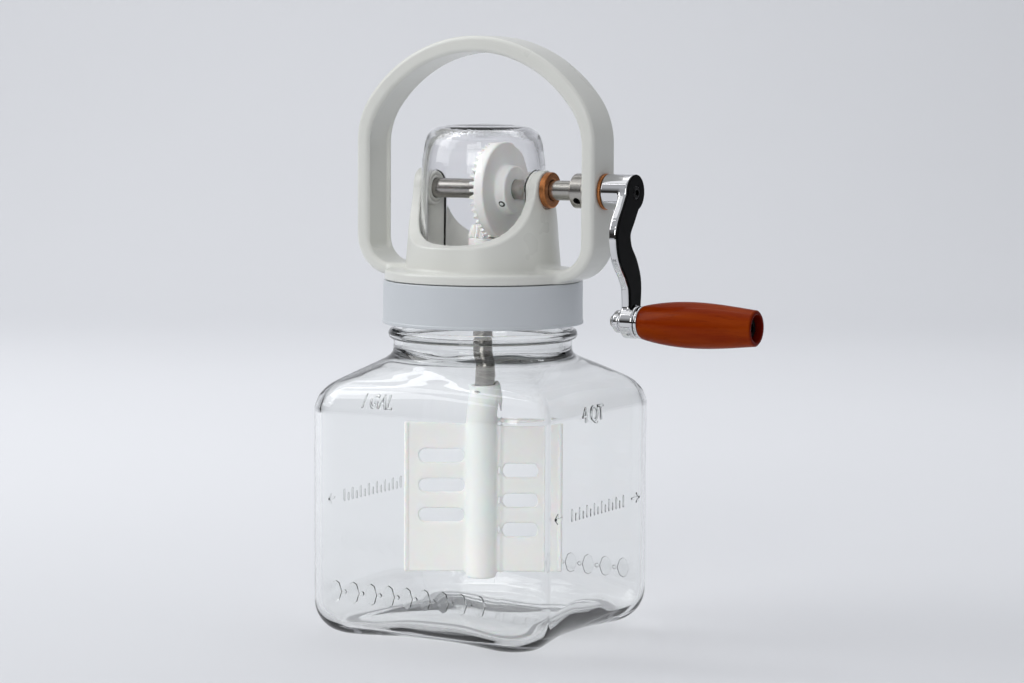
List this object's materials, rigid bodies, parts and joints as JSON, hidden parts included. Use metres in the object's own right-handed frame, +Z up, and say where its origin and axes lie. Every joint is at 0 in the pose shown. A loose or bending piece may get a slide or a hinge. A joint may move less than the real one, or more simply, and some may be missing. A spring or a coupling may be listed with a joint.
{
  "type": "butter churn",
  "caption": "Hand-cranked butter churn: square glass jar, screw-on head with bevel gears under a clear dome, arched carrying handle, crank with wooden grip, slotted dasher.",
  "frame": {"origin": "centre of the jar's base, on the surface it stands on", "axes": "+Z up, +X along the crank shaft towards the crank, -Y towards the jar's front face"},
  "size_m": [0.2828, 0.172, 0.3838],
  "materials": {
    "jar_glass": "clear moulded glass",
    "clear_plastic": "clear moulded plastic",
    "white_plastic": "warm white satin moulding",
    "gear_plastic": "white nylon",
    "paddle_plastic": "cream translucent moulding",
    "grey_plastic": "blue-grey smooth moulding",
    "seal_rubber": "soft food-grade rubber",
    "stainless_steel": "turned stainless steel",
    "chrome": "polished chrome plate",
    "bronze": "oil-filled sintered bronze",
    "black_finish": "satin black",
    "stained_wood": "orange-brown stained and lacquered hardwood"
  },
  "bodies": {
    "jar": {"glass_jar": "jar_glass"},
    "head": {"head_frame": "white_plastic", "neck_gasket": "seal_rubber", "collar_retaining_ring": "white_plastic", "left_shaft_bush": "bronze", "right_shaft_bush": "bronze", "handle_bush": "bronze", "dasher_bush": "bronze", "shaft_seal": "seal_rubber"},
    "collar": {"screw_collar": "grey_plastic"},
    "dome": {"clear_dome": "clear_plastic"},
    "crank": {"crank_shaft": "stainless_steel", "drive_gear": "gear_plastic", "gear_set_screw": "stainless_steel", "shaft_collar": "stainless_steel", "collar_set_screw": "black_finish", "crank_arm": "chrome", "arm_facing": "black_finish", "crank_screw": "black_finish", "grip_spindle": "stainless_steel", "spindle_nut": "chrome", "grip_end_screw": "black_finish"},
    "grip": {"wooden_grip": "stained_wood", "grip_ferrule": "chrome"},
    "dasher": {"dasher_shaft": "stainless_steel", "bevel_pinion": "gear_plastic", "pinion_pin": "stainless_steel", "dasher_paddle": "paddle_plastic", "paddle_pin": "stainless_steel"}
  },
  "joints": [
    {"name": "head_lift", "type": "slide", "parent": "jar", "child": "head", "axis": [0, 0, 1], "range_m": [0, 0.19]},
    {"name": "collar_turn", "type": "hinge", "parent": "head", "child": "collar", "pos_m": [0, 0, 0.2128], "axis": [0, 0, 1], "range_deg": [0, 450]},
    {"name": "dome_lift", "type": "slide", "parent": "head", "child": "dome", "axis": [0, 0, 1], "range_m": [0, 0.04]},
    {"name": "crank_turn", "type": "hinge", "parent": "head", "child": "crank", "pos_m": [0, 0, 0.2858], "axis": [1, 0, 0], "continuous": true},
    {"name": "grip_spin", "type": "hinge", "parent": "crank", "child": "grip", "pos_m": [0.155, 0, 0.2043], "axis": [1, 0, 0], "continuous": true},
    {"name": "dasher_turn", "type": "hinge", "parent": "head", "child": "dasher", "pos_m": [0, 0, 0.15], "axis": [0, 0, 1], "continuous": true}
  ],
  "couplings": [
    {"joint": "dasher_turn", "follows": "crank_turn", "ratio": 3.5}
  ]
}
